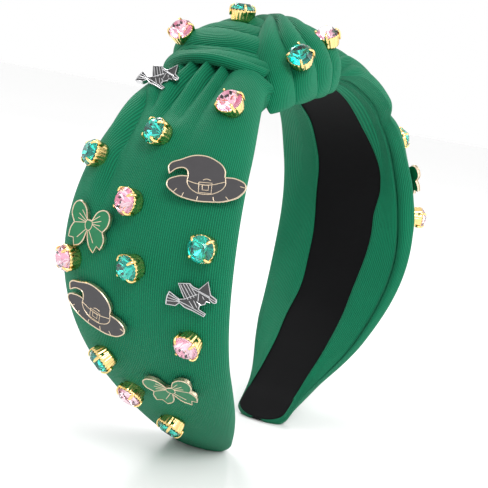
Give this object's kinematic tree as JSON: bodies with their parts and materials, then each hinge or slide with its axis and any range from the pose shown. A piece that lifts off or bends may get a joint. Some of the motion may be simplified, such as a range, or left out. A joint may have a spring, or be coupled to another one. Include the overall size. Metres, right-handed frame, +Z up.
{
  "type": "knotted fabric headband",
  "caption": "Wide padded fabric headband with a knotted crown, a sprung hoop core, a ribbon lining, claw-set stones and small enamel charms sewn on.",
  "frame": {"origin": "midway between the two tips, on the surface that the tips stand on", "axes": "+X to the right arm as seen from the wearer's front (-Y), ear to ear; +Y towards the wearer's back; +Z up to the crown and its knot"},
  "size_m": [0.1863, 0.0634, 0.1444],
  "materials": {
    "cloth": "emerald green fine-ribbed stretch cloth, soft satin sheen",
    "hoop_plastic": "black moulded plastic",
    "ribbon": "matte black ribbon",
    "gold": "polished pale gold plating",
    "pink_stone": "faceted foiled glass, rose",
    "green_stone": "faceted foiled glass, dark emerald",
    "hat_enamel": "grey-black enamel in pale gold outlines",
    "bow_enamel": "green enamel in pale gold outlines",
    "silver": "antiqued silver plating, dark in the recesses"
  },
  "bodies": {
    "crown": {"hoop_crown": "hoop_plastic", "knot_band": "cloth", "knot_loop": "cloth", "knot_tail": "cloth", "lining_crown": "ribbon", "set_stone_knot_back_pink": "gold", "set_stone_knot_front_green": "gold", "set_stone_knot_right_pink": "gold", "set_stone_knot_top_green": "gold"},
    "left_arm": {"charm_left_1_witch": "silver", "charm_left_2_hat": "hat_enamel", "charm_left_3_bow": "bow_enamel", "charm_left_4_witch": "silver", "charm_left_5_hat": "hat_enamel", "charm_left_6_bow": "bow_enamel", "cover_left": "cloth", "hoop_left_arm": "hoop_plastic", "lining_left_arm": "ribbon", "setting_left_1": "gold", "setting_left_10": "gold", "setting_left_11": "gold", "setting_left_2": "gold", "setting_left_3": "gold", "setting_left_4": "gold", "setting_left_5": "gold", "setting_left_6": "gold", "setting_left_7": "gold", "setting_left_8": "gold", "setting_left_9": "gold", "stone_left_10_pink": "pink_stone", "stone_left_11_green": "green_stone", "stone_left_1_pink": "pink_stone", "stone_left_2_green": "green_stone", "stone_left_3_green": "green_stone", "stone_left_4_pink": "pink_stone", "stone_left_5_green": "green_stone", "stone_left_6_green": "green_stone", "stone_left_7_pink": "pink_stone", "stone_left_8_pink": "pink_stone", "stone_left_9_green": "green_stone"},
    "right_arm": {"charm_right_1_witch": "silver", "charm_right_2_hat": "hat_enamel", "charm_right_3_bow": "bow_enamel", "charm_right_4_witch": "silver", "charm_right_5_hat": "hat_enamel", "charm_right_6_bow": "bow_enamel", "cover_right": "cloth", "hoop_right_arm": "hoop_plastic", "lining_right_arm": "ribbon", "set_stone_right_10_pink": "gold", "set_stone_right_11_green": "gold", "set_stone_right_1_pink": "gold", "set_stone_right_2_green": "gold", "set_stone_right_3_green": "gold", "set_stone_right_4_pink": "gold", "set_stone_right_5_green": "gold", "set_stone_right_6_green": "gold", "set_stone_right_7_pink": "gold", "set_stone_right_8_pink": "gold", "set_stone_right_9_green": "gold"}
  },
  "joints": [
    {"name": "left_flex", "type": "hinge", "parent": "crown", "child": "left_arm", "pos_m": [-0.03965, 0, 0.11833], "axis": [0, 1, 0], "range_deg": [-4, 20], "stiffness_Nm_per_rad": 1},
    {"name": "right_flex", "type": "hinge", "parent": "crown", "child": "right_arm", "pos_m": [0.03965, 0, 0.11833], "axis": [0, -1, 0], "range_deg": [-4, 20], "stiffness_Nm_per_rad": 1}
  ]
}
